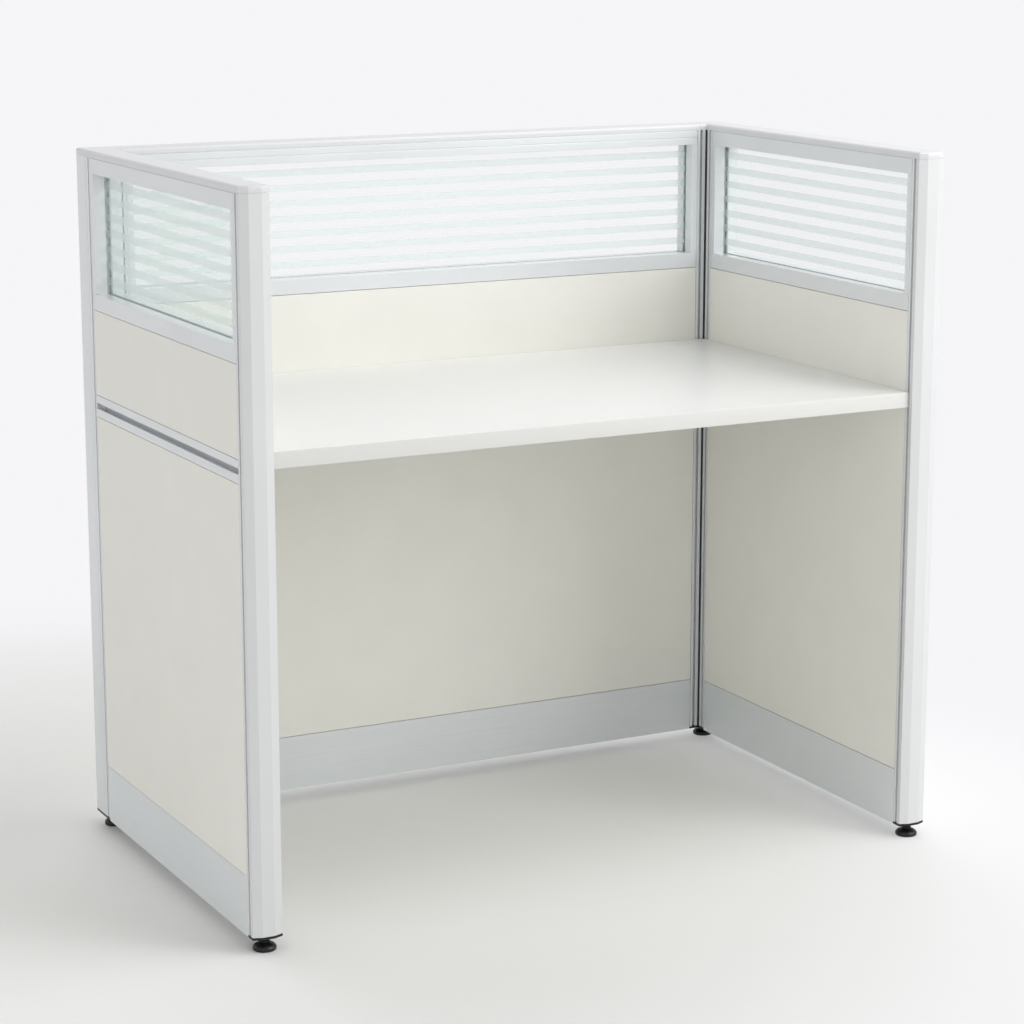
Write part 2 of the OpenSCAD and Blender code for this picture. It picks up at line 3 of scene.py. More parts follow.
import bpy
import numpy as np
from bpy.props import FloatProperty, FloatVectorProperty, PointerProperty
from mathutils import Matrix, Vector


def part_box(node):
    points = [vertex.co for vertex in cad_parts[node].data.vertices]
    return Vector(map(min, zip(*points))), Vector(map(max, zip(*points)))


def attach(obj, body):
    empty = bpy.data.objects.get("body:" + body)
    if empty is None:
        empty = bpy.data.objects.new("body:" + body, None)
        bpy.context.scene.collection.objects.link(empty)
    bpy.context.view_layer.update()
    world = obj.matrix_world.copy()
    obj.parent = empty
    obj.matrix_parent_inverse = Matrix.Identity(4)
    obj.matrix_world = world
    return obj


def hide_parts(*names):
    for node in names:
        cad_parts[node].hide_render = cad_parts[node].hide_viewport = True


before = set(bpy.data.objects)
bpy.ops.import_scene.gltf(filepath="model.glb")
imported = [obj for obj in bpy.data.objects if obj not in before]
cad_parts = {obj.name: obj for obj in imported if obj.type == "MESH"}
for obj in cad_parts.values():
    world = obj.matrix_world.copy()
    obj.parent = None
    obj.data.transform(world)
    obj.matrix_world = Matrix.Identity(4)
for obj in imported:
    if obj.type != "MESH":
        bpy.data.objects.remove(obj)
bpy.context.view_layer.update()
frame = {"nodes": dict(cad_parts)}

bl_info = {
    "name": "Cubicle Workstation",
    "version": (1, 0, 0),
    "blender": (4, 5, 0),
    "location": "3D View > Sidebar > Workstation",
    "description": "Gaskets, edge band, levelling feet, screws, finishes and studio",
    "category": "Object",
}

MM = 0.001
WALLS = ("left", "rear", "right")
FEET = ("front_left", "front_right", "rear_left", "rear_right")

# How the CAD's loose triangles are joined before their edges are eased.
WELD_REACH = 0.01 * MM
FLAT_ANGLE = math.radians(0.5)
EDGE_ANGLE = math.radians(14)

# Nearly all of a noise's values lie between these.
NOISE_SPAN = {"From Min": 0.3, "From Max": 0.7}

# Sockets of a Mix node by number, because their names repeat for floats and colours.
MIX_FACTOR = 0
FLOAT_A, FLOAT_B, FLOAT_RESULT = 2, 3, 0
COLOUR_A, COLOUR_B, COLOUR_RESULT = 6, 7, 2


def linear(hex_colour):
    """Turns a hex colour, such as E8E6DF, to linear values by the sRGB curve, with full alpha."""
    coded = np.array([int(hex_colour[i:i + 2], 16) for i in (0, 2, 4)]) / 255
    light = np.where(coded <= 0.04045, coded / 12.92, ((coded + 0.055) / 1.055) ** 2.4)
    return (*light.tolist(), 1.0)


def length(name, description, default_mm):
    """A size that the panel shows in the scene's length unit."""
    return FloatProperty(name=name, description=description, default=default_mm * MM,
                         unit="LENGTH", subtype="DISTANCE", precision=5)


def place(name, description, default_m):
    """A point in the frame."""
    return FloatVectorProperty(name=name, description=description, default=default_m, size=3,
                               unit="LENGTH", subtype="TRANSLATION", precision=5)


def turn(name, description, default_radians):
    """An angle, shown in degrees."""
    return FloatProperty(name=name, description=description, default=default_radians,
                         unit="ROTATION", subtype="ANGLE")


def share(name, description, default):
    """A part of a whole, from 0 to 1."""
    return FloatProperty(name=name, description=description, default=default,
                         min=0, max=1, subtype="FACTOR")


def colour(name, description, hex_colour):
    """A colour, kept linear as the shader takes it."""
    return FloatVectorProperty(name=name, description=description, size=4, subtype="COLOR",
                               default=linear(hex_colour), min=0, max=1)


def glow(name, description, default):
    """A strength of light, where 1 shows a white surface as white."""
    return FloatProperty(name=name, description=description, default=default, min=0)


def power(name, description, default_watts):
    """The power of a lamp."""
    return FloatProperty(name=name, description=description, default=default_watts,
                         min=0, unit="POWER")


class GasketSizes(bpy.types.PropertyGroup):
    """Rubber gaskets between the glass and its channel"""
    recess: length("Recess", "How far the gasket's lip lies inside the channel's mouth", 0.5)
    tuck: length("Tuck", "How far the gasket reaches into the channel", 5.5)
    thickness: length("Thickness", "Across the gasket, from the glass to the channel's side", 2)
    rounding: length("Rounding", "Radius of the gasket's edges", 0.6)


class EdgeBandSizes(bpy.types.PropertyGroup):
    """Edge band on the worktop's front"""
    thickness: length("Thickness", "Thickness of the edge band", 2)
    proud: length("Proud", "How far the band stands in front of the board", 0.35)
    lip: length("Lip", "How far the band stands over the board's faces", 0.05)
    rounding: length("Rounding", "Radius that the trimmer leaves on the band's edges", 0.9)


class StemSizes(bpy.types.PropertyGroup):
    """Threaded stems of the levelling feet"""
    pitch: length("Pitch", "Rise of the thread in one turn", 1.5)
    thread_depth: length("Thread depth", "From crest to root", 0.92)
    rod_radius: length("Rod radius", "Radius over the crests", 5)
    nut_height: length("Nut height", "Height of the hexagon", 4)
    nut_lift: length("Nut lift", "Height of the hexagon over the stem's lower end", 7.5)
    chamfer: share("Chamfer", "Where the chamfer starts, as a share of the flats' radius", 0.97)


class PadSizes(bpy.types.PropertyGroup):
    """Round pads of the levelling feet"""
    sole_share: share("Sole", "Radius of the flat sole as a share of the pad's", 0.9)
    widest_share: share("Widest", "Height of the widest place as a share of the pad's", 0.3)
    neck_radius: length("Neck radius", "Radius of the pad's top", 8)
    neck_bore: length("Neck bore", "Radius of the recess round the stem", 5.6)
    bore_depth: length("Bore depth", "Depth of that recess", 1.2)


class ScrewSizes(bpy.types.PropertyGroup):
    """Screws of the worktop's brackets, and where they stand"""
    head_radius: length("Head radius", "Radius of the head", 4.2)
    head_height: length("Head height", "Height of the head", 2.6)
    shank_radius: length("Shank radius", "Radius of the shank", 2)
    shank_length: length("Shank length", "Length under the head", 18)
    spacing: length("Spacing", "Between the two screws of a bracket's leg", 120)
    leg_length: length("Leg length", "Length of the bracket", 180)
    leg_thickness: length("Leg thickness", "Thickness of the bracket", 3)
    leg_width: length("Leg width", "Width of a bracket's leg", 30)
    wall_drop: length("Wall drop", "How far under the board the wall's screws stand", 9.5)
    recess_arm: length("Recess arm", "Reach of the cross recess from the middle", 2.4)
    recess_width: length("Recess width", "Half the width of the recess's arms", 0.55)
    recess_depth: length("Recess depth", "Depth of the recess", 1.6)


class EasedEdges(bpy.types.PropertyGroup):
    """Width of the eased edges on each group of pieces"""
    frame: length("Frame", "Stiles, rails and corner posts", 0.4)
    trim: length("Trim", "Caps and end covers", 0.6)
    skirting: length("Skirting", "Skirting plates", 0.5)
    tile: length("Tiles", "Laminate tiles", 0.5)
    worktop: length("Worktop", "Worktop board", 0.3)
    plastic: length("Plastic", "Base plates", 0.4)


class StripeSizes(bpy.types.PropertyGroup):
    """Frosted bands of the glass"""
    pitch: length("Pitch", "From one frosted band to the next", 25.6)
    band: length("Band", "Height of a frosted band", 11.6)
    first: length("First", "Height of a frosted band's middle over the floor", 926.5)
    fade: length("Fade", "Soft edge that the screened mask leaves", 0.7)


class FinishColours(bpy.types.PropertyGroup):
    """Colours of the finishes"""
    silver: colour("Silver coat", "Frames and rails", "DFE2E4")
    trim: colour("White coat", "Caps and end covers", "D9DADB")
    skirting: colour("Skirting", "Anodised skirting plates", "E1E5E6")
    tile: colour("Tiles", "Cream laminate", "EDECE5")
    worktop: colour("Worktop", "White melamine", "EEEEEB")
    edging: colour("Edging", "ABS edge band", "DCDCD9")
    glass: colour("Glass", "Body of the glass", "D3ECE5")
    frost: colour("Frost", "Etched bands", "DFEDE9")
    gasket: colour("Gasket", "Grey rubber of the glazing gaskets", "B0B4B4")
    seal: colour("Seal", "Black rubber of the corner seals", "1E1F20")
    nylon: colour("Nylon", "Base plates and pads", "161617")
    black_steel: colour("Black steel", "Levelling stems", "2A2A2B")
    zinc: colour("Zinc", "Brackets and screws", "C9CDD2")


class StageSettings(bpy.types.PropertyGroup):
    """Floor, backdrop, lamps and camera"""
    backdrop: colour("Backdrop", "Studio background", "F6F5F8")
    floor: colour("Floor", "Studio floor", "F0F0EE")
    floor_reach: length("Floor reach", "Half the floor's side", 30000)
    floor_centre: place("Floor centre", "Where the floor's fade is measured from", (-0.6, 0.1, 0))
    floor_near: length("Near", "The floor shows as itself up to this distance", 800)
    floor_far: length("Far", "The floor has become the backdrop at this distance", 1900)
    ambient: glow("Ambient", "Light from all round, ceiling and floor too", 0.2)
    left_glow: glow("Left glow", "More light from the front left", 1.16)
    rear_glow: glow("Rear glow", "More light from low down behind the object", 2.67)
    high_rear_glow: glow("High rear glow", "More light from above, behind on the left", 0.46)
    front_softbox: power("Front softbox", "The softbox on the front right", 88)
    side_softbox: power("Side softbox", "The softbox on the right", 25)
    high_softbox: power("High softbox", "The softbox on the right, high up", 66)
    softbox_side: length("Softbox side", "Side of each square softbox", 2500)
    aim: place("Aim", "The point that the softboxes are turned to", (0, 0, 0.6))
    camera: place("Camera", "Where the camera stands", (-2.07528, -4.04433, 1.52985))
    camera_dip: turn("Camera dip", "How far the camera looks down from level", 0.21379)
    camera_turn: turn("Camera turn", "How far the camera is turned from the rear", -0.47564)
    lens: length("Lens", "Focal length", 99.897)
    sensor: length("Sensor", "Width of the camera's sensor", 36)


class WorkstationSettings(bpy.types.PropertyGroup):
    """All that can be changed on the workstation"""
    gasket: PointerProperty(type=GasketSizes)
    band: PointerProperty(type=EdgeBandSizes)
    stem: PointerProperty(type=StemSizes)
    pad: PointerProperty(type=PadSizes)
    screw: PointerProperty(type=ScrewSizes)
    edges: PointerProperty(type=EasedEdges)
    stripes: PointerProperty(type=StripeSizes)
    colours: PointerProperty(type=FinishColours)
    stage: PointerProperty(type=StageSettings)


def full_turn(around):
    """That many even angles round a full turn."""
    return np.linspace(0, 2 * np.pi, around, endpoint=False)


def skin(rings, closed=False):
    """Joins rings of points, shaped (rings, points, 3), with quads to one closed skin.

    Point (i, j) joins (i, j + 1), (i + 1, j + 1) and (i + 1, j). A closed run goes back to its
    first ring. An open one ends in a fan of triangles to the middle of each end ring. The sum of
    the faces' triple products tells whether the faces look in, and then they are turned round.
    """
    count, around, _ = rings.shape
    i = np.arange(count if closed else count - 1)[:, None]
    j = np.arange(around)[None, :]
    i_next, j_next = (i + 1) % count, (j + 1) % around
    corners = np.broadcast_arrays(i * around + j, i * around + j_next,
                                  i_next * around + j_next, i_next * around + j)
    quads = np.stack(corners, -1).reshape(-1, 4)
    points = rings.reshape(-1, 3)
    fans = np.empty((0, 3), int)
    if not closed:
        points = np.vstack([points, rings[0].mean(0), rings[-1].mean(0)])
        pole = count * around
        step = np.arange(around)
        step_next = (step + 1) % around
        last = (count - 1) * around
        first_fan = np.stack([np.full(around, pole), step_next, step], -1)
        last_fan = np.stack([np.full(around, pole + 1), last + step, last + step_next], -1)
        fans = np.vstack([first_fan, last_fan])
    triangles = np.vstack([quads[:, :3], quads[:, [0, 2, 3]], fans])
    a, b, c = (points[triangles[:, k]] - points.mean(0) for k in range(3))
    if np.einsum("ij,ij->i", a, np.cross(b, c)).sum() < 0:
        quads, fans = quads[:, ::-1], fans[:, ::-1]
    return points, quads, fans


def turned(radius, height, around):
    """A solid of revolution: each profile point (radius, height) goes round the Z axis."""
    angle = full_turn(around)
    rings = np.empty((len(radius), around, 3))
    rings[..., 0] = radius[:, None] * np.cos(angle)
    rings[..., 1] = radius[:, None] * np.sin(angle)
    rings[..., 2] = height[:, None]
    return rings


def rounded_section(width, height, rounding, steps=5):
    """A rounded rectangle about the origin: every quarter is an arc about its corner's centre."""
    quarter = np.linspace(0, np.pi / 2, steps)
    angle = (quarter[None, :] + np.arange(4)[:, None] * np.pi / 2).ravel()
    side = np.repeat(np.array([[1, 1], [-1, 1], [-1, -1], [1, -1]]), steps, axis=0)
    centre = side * (np.array([width, height]) / 2 - rounding)
    return centre + rounding * np.stack([np.cos(angle), np.sin(angle)], -1)


def add_piece(name, skins, material, body, sharp_degrees=35):
    """Puts the skins into one mesh at the origin, smooth but for edges over sharp_degrees."""
    mesh = bpy.data.meshes.new(name)
    starts = np.cumsum([0] + [len(points) for points, _, _ in skins])
    points = np.vstack([points for points, _, _ in skins])
    faces = []
    for (_, quads, fans), start in zip(skins, starts):
        faces += (quads + start).tolist() + (fans + start).tolist()
    mesh.from_pydata(points.tolist(), [], faces)
    mesh.polygons.foreach_set("use_smooth", np.ones(len(faces), bool))
    mesh.set_sharp_from_angle(angle=math.radians(sharp_degrees))
    mesh.validate()
    mesh.materials.append(material)
    piece = bpy.data.objects.new(name, mesh)
    bpy.context.scene.collection.objects.link(piece)
    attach(piece, body)
    return piece


def connect(tree, node, inputs):
    """Links each of a node's inputs that is named to a socket, or sets it to a value."""
    for name, value in inputs.items():
        if isinstance(value, bpy.types.NodeSocket):
            tree.links.new(value, node.inputs[name])
        else:
            node.inputs[name].default_value = value


def add_node(tree, kind, inputs=None, output=0, **settings):
    """Adds a node with its settings and links, and gives one of its outputs."""
    node = tree.nodes.new(kind)
    for name, value in settings.items():
        setattr(node, name, value)
    connect(tree, node, inputs or {})
    return node.outputs[output]


def start_material(name):
    """A new material, its node tree, its shader and the object's own coordinates in metres."""
    material = bpy.data.materials.new(name)
    material.use_nodes = True
    tree = material.node_tree
    shader = next(n for n in tree.nodes if n.type == "BSDF_PRINCIPLED")
    spot = add_node(tree, "ShaderNodeTexCoord", output="Object")
    return material, tree, shader, spot


def per_m(size_mm):
    """The scale of a pattern whose features have that size.

    The real sizes that the materials' notes give are usual ones for such finishes, taken from
    general knowledge. None was measured on the workstation.
    """
    return 1 / (size_mm * MM)


def tinted(tree, base, noise, low_share, high_share):
    """A base, as a colour or a socket, whose lightness goes with a noise between two shares."""
    lightness = add_node(tree, "ShaderNodeMapRange", {
        "Value": noise, **NOISE_SPAN,
        "To Min": low_share, "To Max": high_share})
    return add_node(tree, "ShaderNodeHueSaturation", {"Value": lightness, "Color": base})


def finish(tree, shader, base, gloss, relief, constants=None):
    """Gives a shader its base colour, roughness, relief and constants.

    The roughness is the sum of the parts of gloss, each a noise and the two values that it moves
    between. The relief is a noise, its depth in mm and its strength.
    """
    rough, *others = [
        add_node(tree, "ShaderNodeMapRange", {
            "Value": noise, **NOISE_SPAN, "To Min": low, "To Max": high})
        for noise, low, high in gloss]
    for part in others:
        rough = add_node(tree, "ShaderNodeMath", {0: rough, 1: part}, operation="ADD")
    height, depth_mm, strength = relief
    normal = add_node(tree, "ShaderNodeBump", {
        "Height": height, "Distance": depth_mm * MM, "Strength": strength})
    connect(tree, shader, {
        "Base Color": base, "Roughness": rough, "Normal": normal, **(constants or {})})


def silver_powder_coat(colours):
    """Polyester powder coat with fine aluminium flake, sprayed on extrusions and baked.

    It gives a satin silver with a soft sheen, faint orange peel and hardly any mirror image.
    Real flake is usually about 0.05 mm across; here it is 0.7 mm, so that it shows.
    """
    material, tree, shader, spot = start_material("silver_polyester_powder_coat")
    peel = add_node(tree, "ShaderNodeTexNoise", {"Vector": spot, "Scale": per_m(2.2), "Detail": 1})
    flake = add_node(tree, "ShaderNodeTexNoise", {
        "Vector": spot, "Scale": per_m(0.7), "Detail": 0})
    cloud = add_node(tree, "ShaderNodeTexNoise", {"Vector": spot, "Scale": per_m(180)})
    toned = tinted(tree, tuple(colours.silver), cloud, 0.975, 1.015)
    finish(tree, shader, base=tinted(tree, toned, flake, 0.97, 1.03),
           gloss=[(cloud, 0.17, 0.23)], relief=(peel, 0.02, 0.5), constants={"Metallic": 0.08})
    return material


def white_powder_coat(colours):
    """White polyester powder coat, sprayed and baked: smooth, satin, with faint orange peel."""
    material, tree, shader, spot = start_material("white_polyester_powder_coat")
    cloud = add_node(tree, "ShaderNodeTexNoise", {"Vector": spot, "Scale": per_m(150)})
    peel = add_node(tree, "ShaderNodeTexNoise", {"Vector": spot, "Scale": per_m(2.4), "Detail": 1})
    finish(tree, shader, base=tinted(tree, tuple(colours.trim), cloud, 0.985, 1.01),
           gloss=[(cloud, 0.28, 0.33)], relief=(peel, 0.02, 0.5))
    return material


def satin_anodised(colours):
    """Aluminium plate, brushed along its length and anodised blue-grey.

    It gives soft long reflections with fine level streaks. Real brush lines are usually about
    0.1 mm apart; here they are 1.2 mm, so that they show, and drawn out to 120 mm.
    """
    material, tree, shader, spot = start_material("brushed_anodised_aluminium")
    drawn_out = add_node(tree, "ShaderNodeMapping", {"Vector": spot, "Scale": (0.01, 0.01, 1.0)})
    streak = add_node(tree, "ShaderNodeTexNoise", {
        "Vector": drawn_out, "Scale": per_m(1.2), "Detail": 3, "Roughness": 0.65})
    cloud = add_node(tree, "ShaderNodeTexNoise", {"Vector": spot, "Scale": per_m(260)})
    finish(tree, shader, base=tinted(tree, tuple(colours.skirting), streak, 0.965, 1.025),
           gloss=[(streak, 0.3, 0.38), (cloud, 0.0, 0.06)], relief=(streak, 0.012, 0.4),
           constants={"Metallic": 0.2, "Anisotropic": 0.3})
    return material


def cream_laminate(colours):
    """Melamine-faced board pressed against a pearl-textured plate.

    It gives a matte cream with a fine even relief, whose pearls are set 1.6 mm apart.
    """
    material, tree, shader, spot = start_material("cream_melamine_laminate")
    pearl = add_node(tree, "ShaderNodeTexNoise", {"Vector": spot, "Scale": per_m(1.6)})
    cloud = add_node(tree, "ShaderNodeTexNoise", {"Vector": spot, "Scale": per_m(90), "Detail": 3})
    toned = tinted(tree, tuple(colours.tile), cloud, 0.985, 1.01)
    finish(tree, shader, base=tinted(tree, toned, pearl, 0.985, 1.012),
           gloss=[(pearl, 0.5, 0.6)], relief=(pearl, 0.03, 0.5))
    return material


def white_melamine(colours):
    """Melamine-faced worktop pressed against a satin plate.

    It gives a white of low gloss, a little uneven where hands wipe it. Real pores are usually
    about 0.3 mm apart; here they are 1.3 mm, so that they show.
    """
    material, tree, shader, spot = start_material("white_satin_melamine")
    pore = add_node(tree, "ShaderNodeTexNoise", {"Vector": spot, "Scale": per_m(1.3)})
    handling = add_node(tree, "ShaderNodeTexNoise", {
        "Vector": spot, "Scale": per_m(220), "Detail": 3})
    finish(tree, shader, base=tinted(tree, tuple(colours.worktop), handling, 0.99, 1.006),
           gloss=[(pore, 0.28, 0.33), (handling, 0.0, 0.06)], relief=(pore, 0.012, 0.45))
    return material


def abs_edging(colours):
    """Extruded ABS edge band, glued on and scraped.

    It gives a white like the board's, with faint marks of the scraper along its run. Real marks
    are usually about 0.2 mm apart; here they are 1.5 mm, so that they show, and drawn out to
    75 mm.
    """
    material, tree, shader, spot = start_material("white_abs_edging")
    drawn_out = add_node(tree, "ShaderNodeMapping", {"Vector": spot, "Scale": (0.02, 1.0, 1.0)})
    scrape = add_node(tree, "ShaderNodeTexNoise", {"Vector": drawn_out, "Scale": per_m(1.5)})
    finish(tree, shader, base=tinted(tree, tuple(colours.edging), scrape, 0.985, 1.0),
           gloss=[(scrape, 0.28, 0.36)], relief=(scrape, 0.01, 0.4))
    return material


def striped_glass(colours, stripes):
    """Float glass with bands frosted by acid through a screened mask.

    Clear bands show what is behind with a faint green; frosted bands scatter light, so they
    read as milky. Real etching usually has a grain under 0.1 mm; here it is 1.1 mm, so that it
    shows.
    """
    material, tree, shader, spot = start_material("float_glass_with_etched_bands")
    height = add_node(tree, "ShaderNodeSeparateXYZ", {"Vector": spot}, output="Z")
    # Distance from the nearest band's middle, by a triangle wave of the stripes' pitch.
    half_pitch = stripes.pitch / 2
    from_first = add_node(tree, "ShaderNodeMath", {0: height, 1: stripes.first + half_pitch},
                          operation="SUBTRACT")
    wave = add_node(tree, "ShaderNodeMath", {0: from_first, 1: half_pitch}, operation="PINGPONG")
    from_middle = add_node(tree, "ShaderNodeMath", {0: half_pitch, 1: wave}, operation="SUBTRACT")
    half_band, soft = stripes.band / 2, stripes.fade / 2
    etched = add_node(tree, "ShaderNodeMapRange", {
        "Value": from_middle, "From Min": half_band - soft, "From Max": half_band + soft,
        "To Min": 1.0, "To Max": 0.0})
    body = add_node(tree, "ShaderNodeMix", {
        MIX_FACTOR: etched, COLOUR_A: tuple(colours.glass), COLOUR_B: tuple(colours.frost)},
        output=COLOUR_RESULT, data_type="RGBA")
    rough = add_node(tree, "ShaderNodeMapRange", {"Value": etched, "To Min": 0.04, "To Max": 0.5})
    # Seen aslant, the light's way through the glass is longer, so the veil is denser. The rest of
    # the rise is a painted reflection: where its faces would mirror more, more of the glass's lit
    # body colour shows in place of a mirror image. It is at its densest where the fourth power of
    # the slant reaches 0.2.
    facing = add_node(tree, "ShaderNodeLayerWeight", {"Blend": 0.5}, output="Facing")
    aslant = add_node(tree, "ShaderNodeMath", {0: facing, 1: 4.0}, operation="POWER")
    clear_veil_and_reflection, etched_veil_and_reflection = (
        add_node(tree, "ShaderNodeMapRange", {
            "Value": aslant, "From Max": 0.2, "To Min": thin, "To Max": dense})
        for thin, dense in ((0.04, 0.22), (0.33, 0.43)))
    veil_and_reflection = add_node(tree, "ShaderNodeMix", {
        MIX_FACTOR: etched, FLOAT_A: clear_veil_and_reflection, FLOAT_B: etched_veil_and_reflection},
        output=FLOAT_RESULT, data_type="FLOAT")
    etch_grain = add_node(tree, "ShaderNodeTexNoise", {"Vector": spot, "Scale": per_m(1.1)})
    patchy = add_node(tree, "ShaderNodeMapRange", {
        "Value": etch_grain, **NOISE_SPAN, "To Min": 0.97, "To Max": 1.03})
    # As alpha, the cover shows the glass's body colour: its own veil and, aslant, a painted
    # reflection.
    cover = add_node(tree, "ShaderNodeMath", {0: veil_and_reflection, 1: patchy}, operation="MULTIPLY")
    connect(tree, shader, {
        "Base Color": body, "Roughness": rough, "Alpha": cover, "IOR": 1.52})
    return material


def epdm_rubber(name, base):
    """Extruded EPDM rubber.

    It gives a matte skin with a faint bloom. Real pores are usually about 0.1 mm; here they are
    0.8 mm, so that they show.
    """
    material, tree, shader, spot = start_material(name)
    bloom = add_node(tree, "ShaderNodeTexNoise", {"Vector": spot, "Scale": per_m(14), "Detail": 3})
    pore = add_node(tree, "ShaderNodeTexNoise", {"Vector": spot, "Scale": per_m(0.8)})
    finish(tree, shader, base=tinted(tree, tuple(base), bloom, 0.85, 1.2),
           gloss=[(bloom, 0.6, 0.75)], relief=(pore, 0.02, 0.5))
    return material


def black_nylon(colours):
    """Injection-moulded glass-filled nylon.

    It gives a near black, greyer where it rubs, with the texture of a spark-eroded mould. A
    real one is usually about 0.1 mm fine; here it is 0.6 mm, so that it shows.
    """
    material, tree, shader, spot = start_material("moulded_black_nylon")
    spark = add_node(tree, "ShaderNodeTexNoise", {
        "Vector": spot, "Scale": per_m(0.6), "Detail": 3, "Roughness": 0.6})
    rub = add_node(tree, "ShaderNodeTexNoise", {"Vector": spot, "Scale": per_m(9), "Detail": 3})
    finish(tree, shader, base=tinted(tree, tuple(colours.nylon), rub, 0.8, 1.5),
           gloss=[(rub, 0.32, 0.48)], relief=(spark, 0.04, 0.5),
           constants={"Specular IOR Level": 0.35})
    return material


def black_oxide_steel(colours):
    """Turned steel with a rolled thread, blackened in hot salts.

    It gives a dark metal that glints on the crests, with stains of the salts. Real turning
    marks are usually about 0.1 mm apart; here they are 0.5 mm, so that they show.
    """
    material, tree, shader, spot = start_material("black_oxide_steel")
    salt = add_node(tree, "ShaderNodeTexNoise", {"Vector": spot, "Scale": per_m(3), "Detail": 3})
    turning = add_node(tree, "ShaderNodeTexNoise", {"Vector": spot, "Scale": per_m(0.5)})
    finish(tree, shader, base=tinted(tree, tuple(colours.black_steel), salt, 0.75, 1.4),
           gloss=[(salt, 0.36, 0.5)], relief=(turning, 0.01, 0.4), constants={"Metallic": 0.9})
    return material


def zinc_plated_steel(colours):
    """Pressed steel with bright zinc plating.

    It gives a pale blue-grey metal, mottled, in patches of 6 mm that differ in gloss.
    """
    material, tree, shader, spot = start_material("zinc_plated_steel")
    patch = add_node(tree, "ShaderNodeTexVoronoi", {"Vector": spot, "Scale": per_m(6)})
    mottle = add_node(tree, "ShaderNodeTexNoise", {
        "Vector": spot, "Scale": per_m(12), "Detail": 3})
    rough = add_node(tree, "ShaderNodeMapRange", {
        "Value": patch, "From Max": 0.8, "To Min": 0.28, "To Max": 0.42})
    relief = add_node(tree, "ShaderNodeBump", {
        "Height": mottle, "Distance": 0.01 * MM, "Strength": 0.4})
    connect(tree, shader, {
        "Base Color": tinted(tree, tuple(colours.zinc), mottle, 0.92, 1.04),
        "Roughness": rough, "Metallic": 1.0, "Normal": relief})
    return material


def nodes_in(slot):
    """The CAD nodes whose finish is that slot of the record."""
    found = [node for node in frame["nodes"].values()
             if node.data.materials[0].name.split(".")[0] == slot]
    if not found:
        raise RuntimeError(f"no node has the finish {slot}")
    return found


def dress(slot, material, edge=0):
    """Gives a slot's CAD nodes a material and, where edge isn't zero, edges eased to that width.

    The modifiers weld a node's loose triangles, join those of a flat face and bevel the edges.
    """
    for node in nodes_in(slot):
        node.material_slots[0].material = material
        if not edge:
            continue
        weld = node.modifiers.new("weld", "WELD")
        weld.merge_threshold = WELD_REACH
        flat = node.modifiers.new("flat faces", "DECIMATE")
        flat.decimate_type = "DISSOLVE"
        flat.angle_limit = FLAT_ANGLE
        ease = node.modifiers.new("eased edges", "BEVEL")
        ease.width = edge
        ease.segments = 2
        ease.limit_method = "ANGLE"
        ease.angle_limit = EDGE_ANGLE
        ease.use_clamp_overlap = False
        shading = node.modifiers.new("shading", "WEIGHTED_NORMAL")
        shading.keep_sharp = False


class WORKSTATION_OT_frame_finish(bpy.types.Operator):
    """Silver powder coat on stiles, rails and corner posts"""
    bl_idname = "workstation.frame_finish"
    bl_label = "Frame Finish"

    def execute(self, context):
        settings = context.scene.workstation
        dress("frame_aluminium", silver_powder_coat(settings.colours), settings.edges.frame)
        return {"FINISHED"}


class WORKSTATION_OT_trim_finish(bpy.types.Operator):
    """White powder coat on caps and end covers"""
    bl_idname = "workstation.trim_finish"
    bl_label = "Trim Finish"

    def execute(self, context):
        settings = context.scene.workstation
        dress("white_trim", white_powder_coat(settings.colours), settings.edges.trim)
        return {"FINISHED"}


class WORKSTATION_OT_skirting_finish(bpy.types.Operator):
    """Brushed and anodised skirting plates"""
    bl_idname = "workstation.skirting_finish"
    bl_label = "Skirting Finish"

    def execute(self, context):
        settings = context.scene.workstation
        dress("skirting_aluminium", satin_anodised(settings.colours), settings.edges.skirting)
        return {"FINISHED"}


class WORKSTATION_OT_tile_finish(bpy.types.Operator):
    """Cream laminate on the tiles"""
    bl_idname = "workstation.tile_finish"
    bl_label = "Tile Finish"

    def execute(self, context):
        settings = context.scene.workstation
        dress("tile_laminate", cream_laminate(settings.colours), settings.edges.tile)
        return {"FINISHED"}


class WORKSTATION_OT_worktop_finish(bpy.types.Operator):
    """White melamine on the worktop"""
    bl_idname = "workstation.worktop_finish"
    bl_label = "Worktop Finish"

    def execute(self, context):
        settings = context.scene.workstation
        dress("worktop_laminate", white_melamine(settings.colours), settings.edges.worktop)
        return {"FINISHED"}


class WORKSTATION_OT_glass_finish(bpy.types.Operator):
    """Float glass with frosted stripes in the three windows"""
    bl_idname = "workstation.glass_finish"
    bl_label = "Glass Finish"

    def execute(self, context):
        settings = context.scene.workstation
        dress("striped_glass", striped_glass(settings.colours, settings.stripes))
        return {"FINISHED"}


class WORKSTATION_OT_fitting_finish(bpy.types.Operator):
    """Rubber seals, black base plates and zinc-plated brackets"""
    bl_idname = "workstation.fitting_finish"
    bl_label = "Fitting Finish"

    def execute(self, context):
        settings = context.scene.workstation
        colours = settings.colours
        dress("seal_rubber", epdm_rubber("black_epdm_rubber", colours.seal))
        dress("black_plastic", black_nylon(colours), settings.edges.plastic)
        dress("black_steel", black_oxide_steel(colours))
        dress("zinc_steel", zinc_plated_steel(colours))
        return {"FINISHED"}


